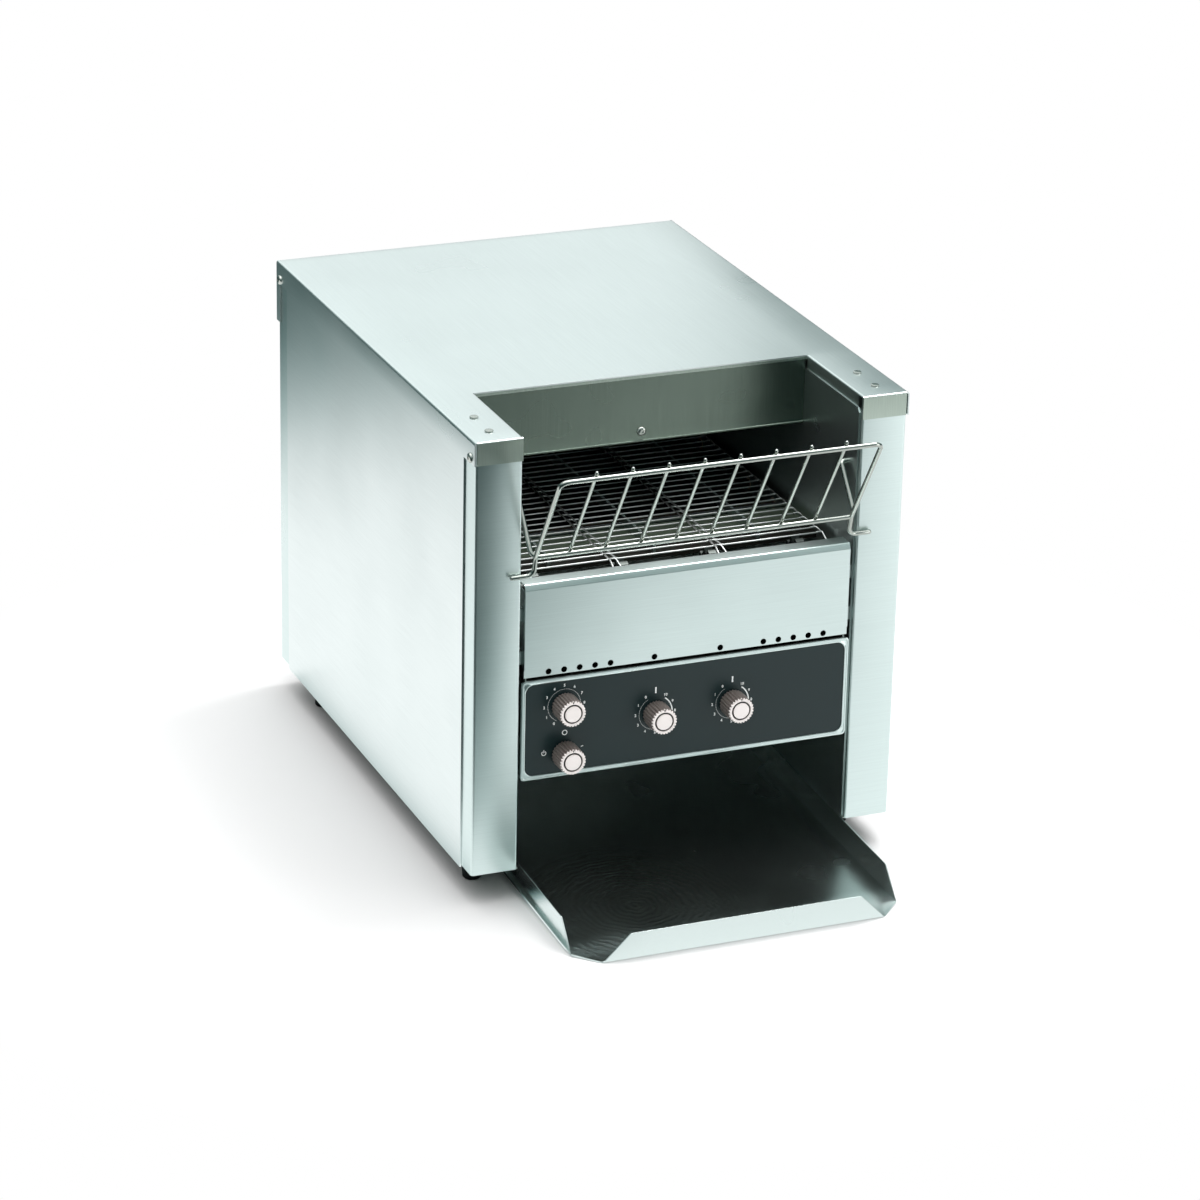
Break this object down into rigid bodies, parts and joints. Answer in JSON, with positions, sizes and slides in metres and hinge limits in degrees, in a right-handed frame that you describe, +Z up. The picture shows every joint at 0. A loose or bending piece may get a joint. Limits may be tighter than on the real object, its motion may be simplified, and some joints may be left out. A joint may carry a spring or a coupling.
{
  "type": "conveyor toaster",
  "caption": "Counter-top conveyor toaster in brushed steel: wire loading rack, wire belt between tube heaters, control panel with fluted knobs, and a sloping toast tray.",
  "frame": {"origin": "on the counter, under the middle of the machine's overall box (tray and cable gland included)", "axes": "+Z up; the loading rack, controls and tray face -Y; +X is the right-hand side seen from the front"},
  "size_m": [0.4748, 0.795, 0.502],
  "materials": {
    "stainless_brushed": "brushed stainless steel sheet",
    "stainless_tray": "stainless sheet, darkened inside by toast",
    "stainless_wire": "polished stainless wire",
    "belt_wire": "stainless belt wire",
    "galvanised": "zinc coated steel sheet",
    "aluminised": "aluminised steel reflector",
    "black_plate": "printed dark grey front plate",
    "knob_grey": "moulded phenolic, matt",
    "switch_body": "moulded phenolic",
    "plated_steel": "zinc plated fastener steel",
    "steel_turned": "turned steel",
    "cast_motor": "cast housing, grey enamel",
    "heater_sheath": "oxidised heater sheath",
    "ceramic_white": "unglazed ceramic",
    "mineral_wool": "compressed mineral wool board",
    "rubber_black": "moulded rubber",
    "plastic_black": "moulded polyamide"
  },
  "bodies": {
    "cabinet": {"back_panel": "stainless_brushed", "base_pan": "galvanised", "belt_rails": "galvanised", "cable_gland": "plastic_black", "control_box": "galvanised", "control_frame": "stainless_brushed", "control_plate": "black_plate", "conveyor_belt": "belt_wire", "drive_chain": "steel_turned", "fan_frame": "plastic_black", "fan_guard": "plated_steel", "feet": "rubber_black", "front_deck": "galvanised", "gear_motor": "cast_motor", "heat_regulators": "switch_body", "heater_insulators": "ceramic_white", "left_front_post": "stainless_brushed", "left_inner_wall": "stainless_brushed", "left_rear_post": "stainless_brushed", "lower_heaters": "heater_sheath", "lower_reflector": "aluminised", "motor_bracket": "galvanised", "outer_shell": "stainless_brushed", "panel_brackets": "galvanised", "power_switch": "switch_body", "return_chute": "stainless_tray", "right_front_post": "stainless_brushed", "right_inner_wall": "stainless_brushed", "right_rear_post": "stainless_brushed", "shaft_bearings": "steel_turned", "shell_screws": "plated_steel", "speed_control": "switch_body", "splash_panel": "stainless_brushed", "splash_screw": "plated_steel", "tab_rivets": "plated_steel", "terminal_block": "plastic_black", "top_insulation": "mineral_wool", "upper_front_panel": "stainless_brushed", "upper_heaters": "heater_sheath", "upper_reflector": "aluminised"},
    "front_roller": {"front_shaft": "steel_turned", "front_sprockets": "steel_turned"},
    "drive_roller": {"drive_shaft": "steel_turned", "drive_sprockets": "steel_turned", "chain_wheel": "steel_turned"},
    "motor_output": {"motor_shaft": "steel_turned", "motor_pinion": "steel_turned"},
    "fan_impeller": {"fan_rotor": "plastic_black"},
    "tray": {"collection_tray": "stainless_tray"},
    "rack": {"rack_frame": "stainless_wire", "rack_bars": "stainless_wire"},
    "speed_dial": {"speed_knob": "knob_grey", "speed_spindle": "steel_turned"},
    "power_dial": {"power_knob": "knob_grey", "power_spindle": "steel_turned"},
    "top_heat_dial": {"top_heat_knob": "knob_grey", "top_heat_spindle": "steel_turned"},
    "bottom_heat_dial": {"bottom_heat_knob": "knob_grey", "bottom_heat_spindle": "steel_turned"}
  },
  "joints": [
    {"name": "drive_roller_turn", "type": "hinge", "parent": "cabinet", "child": "drive_roller", "pos_m": [0, 0.31153, 0.31405], "axis": [1, 0, 0], "continuous": true},
    {"name": "front_roller_turn", "type": "hinge", "parent": "cabinet", "child": "front_roller", "pos_m": [0, -0.16697, 0.31405], "axis": [1, 0, 0], "continuous": true},
    {"name": "motor_output_turn", "type": "hinge", "parent": "cabinet", "child": "motor_output", "pos_m": [0.203, 0.27105, 0.09], "axis": [1, 0, 0], "continuous": true},
    {"name": "fan_turn", "type": "hinge", "parent": "cabinet", "child": "fan_impeller", "pos_m": [-0.12, 0.36103, 0.087], "axis": [0, 1, 0], "continuous": true},
    {"name": "tray_slide", "type": "slide", "parent": "cabinet", "child": "tray", "axis": [0, -1, 0], "range_m": [0, 0.3]},
    {"name": "rack_tilt", "type": "hinge", "parent": "cabinet", "child": "rack", "pos_m": [0, -0.20397, 0.424], "axis": [-1, 0, 0], "range_deg": [0, 90]},
    {"name": "speed_knob_turn", "type": "hinge", "parent": "cabinet", "child": "speed_dial", "pos_m": [-0.134, -0.25397, 0.208], "axis": [0, 1, 0], "range_deg": [0, 270]},
    {"name": "power_knob_turn", "type": "hinge", "parent": "cabinet", "child": "power_dial", "pos_m": [-0.133, -0.25397, 0.155], "axis": [0, 1, 0], "range_deg": [0, 90]},
    {"name": "top_heat_knob_turn", "type": "hinge", "parent": "cabinet", "child": "top_heat_dial", "pos_m": [-0.034, -0.25397, 0.185], "axis": [0, 1, 0], "range_deg": [0, 270]},
    {"name": "bottom_heat_knob_turn", "type": "hinge", "parent": "cabinet", "child": "bottom_heat_dial", "pos_m": [0.051, -0.25397, 0.185], "axis": [0, 1, 0], "range_deg": [0, 270]}
  ],
  "couplings": [
    {"joint": "front_roller_turn", "follows": "drive_roller_turn", "ratio": 1},
    {"joint": "motor_output_turn", "follows": "drive_roller_turn", "ratio": 1.7333}
  ]
}
